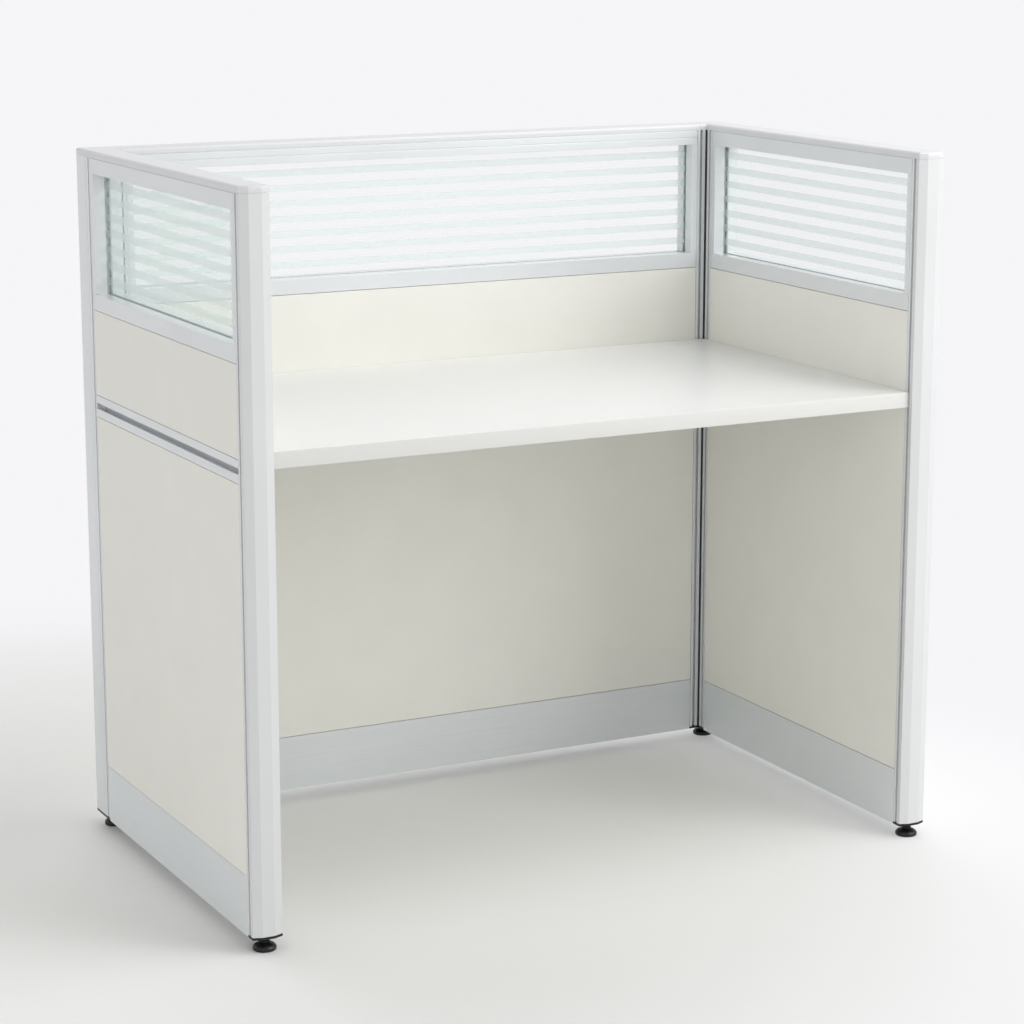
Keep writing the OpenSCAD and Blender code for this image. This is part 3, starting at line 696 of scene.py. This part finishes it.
class WORKSTATION_OT_glazing_gaskets(bpy.types.Operator):
    """A rubber gasket on each side of each window, between the glass and its channel"""
    bl_idname = "workstation.glazing_gaskets"
    bl_label = "Glazing Gaskets"

    def execute(self, context):
        settings = context.scene.workstation
        sizes = settings.gasket
        rubber = epdm_rubber("grey_epdm_rubber", settings.colours.gasket)
        for wall in WALLS:
            along, across = (0, 1) if wall == "rear" else (1, 0)
            # The base rail ends where the stiles begin, as the window does.
            ends = [corner[along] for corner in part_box(f"{wall}_base_rail")]
            low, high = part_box(f"{wall}_sill_rail")[1].z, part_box(f"{wall}_top_rail")[0].z
            glass = [corner[across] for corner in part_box(f"{wall}_glass")]
            outer_side = -1 if wall == "left" else 1
            for face, side in zip(glass, (-1, 1)):
                middle = face + side * sizes.thickness / 2
                rings = self.rings(sizes, ends, (low, high), middle, along, across)
                name = f"{wall}_{'outer' if side == outer_side else 'inner'}_gasket"
                add_piece(name, [skin(rings, closed=True)], rubber, "frame")
        return {"FINISHED"}

    def rings(self, sizes, ends, heights, middle, along, across):
        """A rounded section carried round the window's corners, each corner's ring on the mitre.

        A section point d inside the window's edge is moved d along the wall and d up or down at
        every corner.
        """
        width = sizes.tuck - sizes.recess
        section = rounded_section(width, sizes.thickness, sizes.rounding)
        inset = section[:, 0] - (sizes.tuck + sizes.recess) / 2
        corner_s = np.array([ends[0], ends[1], ends[1], ends[0]])[:, None]
        corner_z = np.array([heights[0], heights[0], heights[1], heights[1]])[:, None]
        turn_s = np.array([1, -1, -1, 1])[:, None]
        turn_z = np.array([1, 1, -1, -1])[:, None]
        rings = np.empty((4, len(section), 3))
        rings[..., along] = corner_s + turn_s * inset
        rings[..., 2] = corner_z + turn_z * inset
        rings[..., across] = middle + section[:, 1]
        return rings


class WORKSTATION_OT_edge_band(bpy.types.Operator):
    """The edge band along the worktop's front"""
    bl_idname = "workstation.edge_band"
    bl_label = "Edge Band"

    def execute(self, context):
        settings = context.scene.workstation
        sizes = settings.band
        low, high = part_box("worktop")
        band_height = high.z - low.z + 2 * sizes.lip
        section = rounded_section(sizes.thickness, band_height, sizes.rounding)
        # The section is carried straight along X, from one end of the board to the other.
        rings = np.empty((2, len(section), 3))
        rings[..., 0] = np.array([low.x, high.x])[:, None]
        rings[..., 1] = low.y + sizes.thickness / 2 - sizes.proud + section[:, 0]
        rings[..., 2] = (low.z + high.z) / 2 + section[:, 1]
        abs_band = abs_edging(settings.colours)
        add_piece("worktop_edge_band", [skin(rings)], abs_band, "frame")
        return {"FINISHED"}


class WORKSTATION_OT_levelling_stems(bpy.types.Operator):
    """The threaded stems of the four feet, each with its hexagon"""
    bl_idname = "workstation.levelling_stems"
    bl_label = "Levelling Stems"

    def execute(self, context):
        settings = context.scene.workstation
        sizes = settings.stem
        steel = black_oxide_steel(settings.colours)
        for foot in FEET:
            node = f"{foot}_foot_stem"
            low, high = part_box(node)
            centre = np.array([(low.x + high.x) / 2, (low.y + high.y) / 2, low.z])
            corner_radius = (high.x - low.x) / 2
            skins = [skin(self.rod(sizes, high.z - low.z) + centre),
                     skin(self.nut(sizes, corner_radius) + centre)]
            piece = add_piece(f"{foot}_threaded_stem", skins, steel,
                              f"{foot}_stem", sharp_degrees=28)
            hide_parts(node)
        return {"FINISHED"}

    def rod(self, sizes, rod_length):
        """Radius as a function of angle and height: the crest climbs one pitch in a turn.

        The share of a turn, height / pitch - angle / full turn, gives a triangle wave that is cut
        flat at crest and root. At both ends a cone of 45 degrees takes the thread down.
        """
        around, rings_per_turn = 36, 6
        flank_slope, root_cut, end_drop = 1.6, 0.3, 1.2
        count = int(round(rod_length / sizes.pitch * rings_per_turn)) + 1
        z = np.linspace(0, rod_length, count)[:, None]
        angle = full_turn(around)[None, :]
        turn_share = np.mod(z / sizes.pitch - angle / (2 * np.pi), 1)
        triangle = 1 - np.abs(2 * turn_share - 1)
        wave = np.clip(flank_slope * triangle - root_cut, 0, 1)
        radius = sizes.rod_radius - sizes.thread_depth * (1 - wave)
        from_end = np.minimum(z, rod_length - z)
        radius = np.minimum(radius, sizes.rod_radius - end_drop * sizes.thread_depth + from_end)
        height = np.broadcast_to(z, radius.shape)
        return np.stack([radius * np.cos(angle), radius * np.sin(angle), height], -1)

    def nut(self, sizes, corner_radius):
        """Radius as the smaller of a hexagon's and of a chamfer cone's.

        The hexagon's is the flats' radius / cosine of the angle from the nearest flat's middle.
        """
        around = 72
        levels = np.array([0, 0.05, 0.1, 0.16, 0.24, 0.35, 0.65, 0.76, 0.84, 0.9, 0.95, 1])
        angle = full_turn(around)[None, :]
        z = sizes.nut_height * levels[:, None]
        flats = corner_radius * math.cos(math.pi / 6)
        hexagon = flats / np.cos(np.mod(angle, np.pi / 3) - np.pi / 6)
        from_face = np.minimum(z, sizes.nut_height - z)
        cone = flats * sizes.chamfer + from_face * math.sqrt(3)
        radius = np.minimum(hexagon, cone)
        height = np.broadcast_to(z + sizes.nut_lift, radius.shape)
        return np.stack([radius * np.cos(angle), radius * np.sin(angle), height], -1)


class WORKSTATION_OT_levelling_pads(bpy.types.Operator):
    """The round pads of the four feet"""
    bl_idname = "workstation.levelling_pads"
    bl_label = "Levelling Pads"

    def execute(self, context):
        settings = context.scene.workstation
        sizes = settings.pad
        nylon = black_nylon(settings.colours)
        for foot in FEET:
            node = f"{foot}_foot_pad"
            low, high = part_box(node)
            centre = np.array([(low.x + high.x) / 2, (low.y + high.y) / 2, low.z])
            radius, height = self.profile(sizes, (high.x - low.x) / 2, high.z - low.z)
            rings = turned(radius, height, around=64) + centre
            piece = add_piece(f"{foot}_levelling_pad", [skin(rings)], nylon,
                              f"{foot}_pad", sharp_degrees=50)
            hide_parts(node)
        return {"FINISHED"}

    def profile(self, sizes, outer, height):
        """Radius and height from the sole's middle to the recess's.

        The sole, a quarter ellipse out to the widest place, a dome up to the neck whose radius
        goes with a power of the cosine, and down into the recess round the stem.
        """
        steps, dome_power = 9, 1.3
        widest = height * sizes.widest_share
        angle = np.linspace(0, np.pi / 2, steps)
        sole = outer * sizes.sole_share
        under_r = sole + (outer - sole) * np.sin(angle)
        under_z = widest * (1 - np.cos(angle))
        dome_r = sizes.neck_radius + (outer - sizes.neck_radius) * np.cos(angle) ** dome_power
        dome_z = widest + (height - widest) * np.sin(angle)
        bore_r, bore_z = sizes.neck_bore, height - sizes.bore_depth
        radius = np.concatenate([[sole / 2], under_r, dome_r[1:], [bore_r, bore_r]])
        level = np.concatenate([[0], under_z, dome_z[1:], [height, bore_z]])
        return radius, level


class WORKSTATION_OT_bracket_screws(bpy.types.Operator):
    """The twelve pan-head screws of the worktop's brackets"""
    bl_idname = "workstation.bracket_screws"
    bl_label = "Bracket Screws"

    def execute(self, context):
        settings = context.scene.workstation
        sizes = settings.screw
        screw = self.screw(sizes)
        low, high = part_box("worktop_brackets")
        # The side brackets' front ends are the foremost points of the brackets' box.
        side_y = low.y + sizes.leg_length / 2
        wall_z, board_z = high.z - sizes.wall_drop, high.z - sizes.leg_thickness
        board_in = (sizes.leg_thickness + sizes.leg_width) / 2
        left, right, rear, up = (-1, 0, 0), (1, 0, 0), (0, 1, 0), (0, 0, 1)
        skins = []
        for s in (-sizes.spacing / 2, sizes.spacing / 2):
            seats = (
                ((low.x + sizes.leg_thickness, side_y + s, wall_z), left),
                ((high.x - sizes.leg_thickness, side_y + s, wall_z), right),
                ((s, high.y - sizes.leg_thickness, wall_z), rear),
                ((low.x + board_in, side_y + s, board_z), up),
                ((high.x - board_in, side_y + s, board_z), up),
                ((s, high.y - board_in, board_z), up),
            )
            skins += [skin(self.placed(screw, seat, direction)) for seat, direction in seats]
        zinc = zinc_plated_steel(settings.colours)
        piece = add_piece("pan_head_screws", skins, zinc, "frame", sharp_degrees=40)
        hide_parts("bracket_screws")
        return {"FINISHED"}

    def screw(self, sizes):
        """Rings of a screw along +Z, its head's seat at zero: a domed face, side, seat and shank.

        The face's height is a dome, 1 - 0.45 * (radius / head radius) squared of the head, less
        the cross recess: its depth times a smooth step of the distance inside either arm.
        """
        around, face_rings = 48, 18
        hub_share, dome_drop, recess_edge, tip_share = 0.04, 0.45, 0.35 * MM, 0.2
        angle = full_turn(around)[None, :]
        r = sizes.head_radius * np.linspace(hub_share, 1, face_rings)[:, None]
        x, y = r * np.cos(angle), r * np.sin(angle)
        dome = sizes.head_height * (1 - dome_drop * (r / sizes.head_radius) ** 2)
        arm_x = np.minimum(sizes.recess_width - np.abs(y), sizes.recess_arm - np.abs(x))
        arm_y = np.minimum(sizes.recess_width - np.abs(x), sizes.recess_arm - np.abs(y))
        inside = np.clip(np.maximum(arm_x, arm_y) / recess_edge + 0.5, 0, 1)
        face = -(dome - sizes.recess_depth * inside * inside * (3 - 2 * inside))
        head = np.stack([x, y, face], -1)
        shank = sizes.shank_radius
        body_r = np.array([sizes.head_radius, shank, shank, tip_share * shank])
        body_z = np.array([0, 0, sizes.shank_length - 2 * shank, sizes.shank_length])
        return np.concatenate([head, turned(body_r, body_z, around)])

    def placed(self, rings, seat, direction):
        """The screw turned from +Z to a direction and moved to its seat."""
        z = np.array(direction, float)
        x = np.cross((0, 1, 0) if abs(z[1]) < 0.5 else (0, 0, 1), z)
        return rings @ np.stack([x, np.cross(z, x), z]) + np.array(seat)


class WORKSTATION_OT_stage(bpy.types.Operator):
    """Floor, soft light, backdrop and camera"""
    bl_idname = "workstation.stage"
    bl_label = "Studio"

    def execute(self, context):
        settings = context.scene.workstation.stage
        self.add_floor(settings)
        self.add_world(context.scene, settings)
        self.add_lamps(settings)
        self.add_camera(context.scene, settings)
        context.scene.view_settings.view_transform = "Standard"
        return {"FINISHED"}

    def seen_directly(self, tree):
        """1 for camera, glossy and transmitted rays, and 0 for the light that the studio gives."""
        ray = add_node(tree, "ShaderNodeLightPath").node.outputs
        both = add_node(tree, "ShaderNodeMath", {
            0: ray["Is Camera Ray"], 1: ray["Is Glossy Ray"]}, operation="MAXIMUM")
        return add_node(tree, "ShaderNodeMath", {
            0: both, 1: ray["Is Transmission Ray"]}, operation="MAXIMUM")

    def towards(self, azimuth, elevation):
        """Direction at so many degrees right of the front and above the floor."""
        azimuth, elevation = math.radians(azimuth), math.radians(elevation)
        return Vector((math.cos(elevation) * math.sin(azimuth),
                       -math.cos(elevation) * math.cos(azimuth),
                       math.sin(elevation)))

    def add_floor(self, settings):
        """A flat square grid: x and y run evenly over the floor's reach, and z is zero.

        Seen directly, it fades to the backdrop with the distance from its centre.
        """
        cells = 8
        side = np.linspace(-settings.floor_reach, settings.floor_reach, cells + 1)
        x, y = np.meshgrid(side, side)
        points = np.stack([x.ravel(), y.ravel(), np.zeros(x.size)], -1)
        i = (np.arange(cells)[:, None] * (cells + 1) + np.arange(cells)).ravel()
        quads = np.stack([i, i + 1, i + cells + 2, i + cells + 1], -1)
        mesh = bpy.data.meshes.new("studio_floor")
        mesh.from_pydata(points.tolist(), [], quads.tolist())
        material, tree, shader, spot = start_material("painted_studio_floor")
        roller = add_node(tree, "ShaderNodeTexNoise", {"Vector": spot, "Scale": per_m(60)})
        connect(tree, shader, {
            "Base Color": tinted(tree, tuple(settings.floor), roller, 0.997, 1.003),
            "Roughness": 0.75, "Specular IOR Level": 0.2})
        distance = add_node(tree, "ShaderNodeVectorMath", {
            0: spot, 1: tuple(settings.floor_centre)}, output="Value", operation="DISTANCE")
        away = add_node(tree, "ShaderNodeMapRange", {
            "Value": distance, "From Min": settings.floor_near, "From Max": settings.floor_far},
            interpolation_type="SMOOTHSTEP")
        fade = add_node(tree, "ShaderNodeMath", {0: away, 1: self.seen_directly(tree)},
                        operation="MULTIPLY")
        backdrop = add_node(tree, "ShaderNodeEmission", {"Color": tuple(settings.backdrop)})
        mixed = add_node(tree, "ShaderNodeMixShader", {
            0: fade, 1: shader.outputs["BSDF"], 2: backdrop})
        output = next(n for n in tree.nodes if n.type == "OUTPUT_MATERIAL")
        connect(tree, output, {"Surface": mixed})
        # The glow is only for what is seen directly, so it isn't sampled as a lamp.
        material.cycles.emission_sampling = "NONE"
        mesh.materials.append(material)
        floor = bpy.data.objects.new("studio_floor", mesh)
        bpy.context.scene.collection.objects.link(floor)

    def add_world(self, scene, settings):
        """Pale backdrop for what is seen directly, and for the rest the soft light of a studio.

        That light is the ambient one and three broad glows, each falling off as the fourth power
        of the cosine of the angle from its middle.
        """
        fall_off = 4.0
        # Degrees right of the front, degrees above the floor, strength.
        glows = ((-50, 8, settings.left_glow),
                 (170, 8, settings.rear_glow),
                 (-160, 30, settings.high_rear_glow))
        world = bpy.data.worlds.new("studio")
        scene.world = world
        world.use_nodes = True
        tree = world.node_tree
        background = next(n for n in tree.nodes if n.type == "BACKGROUND")
        # Its even and broad light needs no map of bright places.
        world.cycles.sampling_method = "NONE"
        seen = self.seen_directly(tree)
        white = (1, 1, 1, 1)
        hue = add_node(tree, "ShaderNodeMix", {
            MIX_FACTOR: seen, COLOUR_A: white, COLOUR_B: tuple(settings.backdrop)},
            output=COLOUR_RESULT, data_type="RGBA")
        direction = add_node(tree, "ShaderNodeTexCoord", output="Object")
        light = settings.ambient
        for azimuth, elevation, glow_strength in glows:
            cosine = add_node(tree, "ShaderNodeVectorMath", {
                0: direction, 1: self.towards(azimuth, elevation)},
                output="Value", operation="DOT_PRODUCT")
            facing = add_node(tree, "ShaderNodeMath", {0: cosine, 1: 0.0}, operation="MAXIMUM")
            lobe = add_node(tree, "ShaderNodeMath", {0: facing, 1: fall_off}, operation="POWER")
            light = add_node(tree, "ShaderNodeMath", {0: lobe, 1: glow_strength, 2: light},
                             operation="MULTIPLY_ADD")
        strength = add_node(tree, "ShaderNodeMix", {
            MIX_FACTOR: seen, FLOAT_A: light, FLOAT_B: 1.0},
            output=FLOAT_RESULT, data_type="FLOAT")
        connect(tree, background, {"Color": hue, "Strength": strength})

    def add_lamps(self, settings):
        """Three large square softboxes on the right, turned to the middle of the workstation."""
        # Name, degrees right of the front, degrees above the floor, metres away, watts.
        boxes = (("front_softbox", 35, 20, 5.0, settings.front_softbox),
                 ("side_softbox", 60, 20, 5.0, settings.side_softbox),
                 ("high_softbox", 60, 60, 4.0, settings.high_softbox))
        for name, azimuth, elevation, distance, watts in boxes:
            lamp = bpy.data.lights.new(name, "AREA")
            lamp.shape = "SQUARE"
            lamp.size = settings.softbox_side
            lamp.energy = watts
            softbox = bpy.data.objects.new(name, lamp)
            softbox.location = Vector(settings.aim) + distance * self.towards(azimuth, elevation)
            softbox.rotation_euler = (math.radians(90 - elevation), 0, math.radians(azimuth))
            bpy.context.scene.collection.objects.link(softbox)

    def add_camera(self, scene, settings):
        """The photograph's viewpoint, solved from the workstation's edges."""
        lens = bpy.data.cameras.new("camera")
        lens.lens = settings.lens / MM
        lens.sensor_width = settings.sensor / MM
        camera = bpy.data.objects.new("camera", lens)
        camera.location = settings.camera
        camera.rotation_euler = (math.pi / 2 - settings.camera_dip, 0, settings.camera_turn)
        scene.collection.objects.link(camera)
        scene.camera = camera


class WORKSTATION_PT_pieces(bpy.types.Panel):
    """Sizes, colours and steps of the workstation"""
    bl_label = "Cubicle Workstation"
    bl_idname = "WORKSTATION_PT_pieces"
    bl_space_type = "VIEW_3D"
    bl_region_type = "UI"
    bl_category = "Workstation"

    def draw(self, context):
        settings = context.scene.workstation
        for operator in OPERATORS:
            self.layout.operator(operator.bl_idname)
        for group_name in settings.bl_rna.properties.keys():
            group = getattr(settings, group_name)
            if not isinstance(group, bpy.types.PropertyGroup):
                continue
            box = self.layout.box()
            box.label(text=group_name.capitalize())
            for name in group.bl_rna.properties.keys():
                if name not in ("rna_type", "name"):
                    box.prop(group, name)


OPERATORS = (
    WORKSTATION_OT_frame_finish,
    WORKSTATION_OT_trim_finish,
    WORKSTATION_OT_skirting_finish,
    WORKSTATION_OT_tile_finish,
    WORKSTATION_OT_worktop_finish,
    WORKSTATION_OT_glass_finish,
    WORKSTATION_OT_fitting_finish,
    WORKSTATION_OT_glazing_gaskets,
    WORKSTATION_OT_edge_band,
    WORKSTATION_OT_levelling_stems,
    WORKSTATION_OT_levelling_pads,
    WORKSTATION_OT_bracket_screws,
    WORKSTATION_OT_stage,
)

CLASSES = (
    GasketSizes,
    EdgeBandSizes,
    StemSizes,
    PadSizes,
    ScrewSizes,
    EasedEdges,
    StripeSizes,
    FinishColours,
    StageSettings,
    WorkstationSettings,
    *OPERATORS,
    WORKSTATION_PT_pieces,
)


def register():
    """Registers the classes and puts the settings on the scene."""
    for item in CLASSES:
        bpy.utils.register_class(item)
    bpy.types.Scene.workstation = PointerProperty(type=WorkstationSettings)


def unregister():
    """Takes the settings off the scene and unregisters the classes."""
    del bpy.types.Scene.workstation
    for item in reversed(CLASSES):
        bpy.utils.unregister_class(item)


def main():
    """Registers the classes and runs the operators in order."""
    register()
    bpy.ops.workstation.frame_finish()
    bpy.ops.workstation.trim_finish()
    bpy.ops.workstation.skirting_finish()
    bpy.ops.workstation.tile_finish()
    bpy.ops.workstation.worktop_finish()
    bpy.ops.workstation.glass_finish()
    bpy.ops.workstation.fitting_finish()
    bpy.ops.workstation.glazing_gaskets()
    bpy.ops.workstation.edge_band()
    bpy.ops.workstation.levelling_stems()
    bpy.ops.workstation.levelling_pads()
    bpy.ops.workstation.bracket_screws()
    bpy.ops.workstation.stage()


if __name__ == "__main__":
    main()
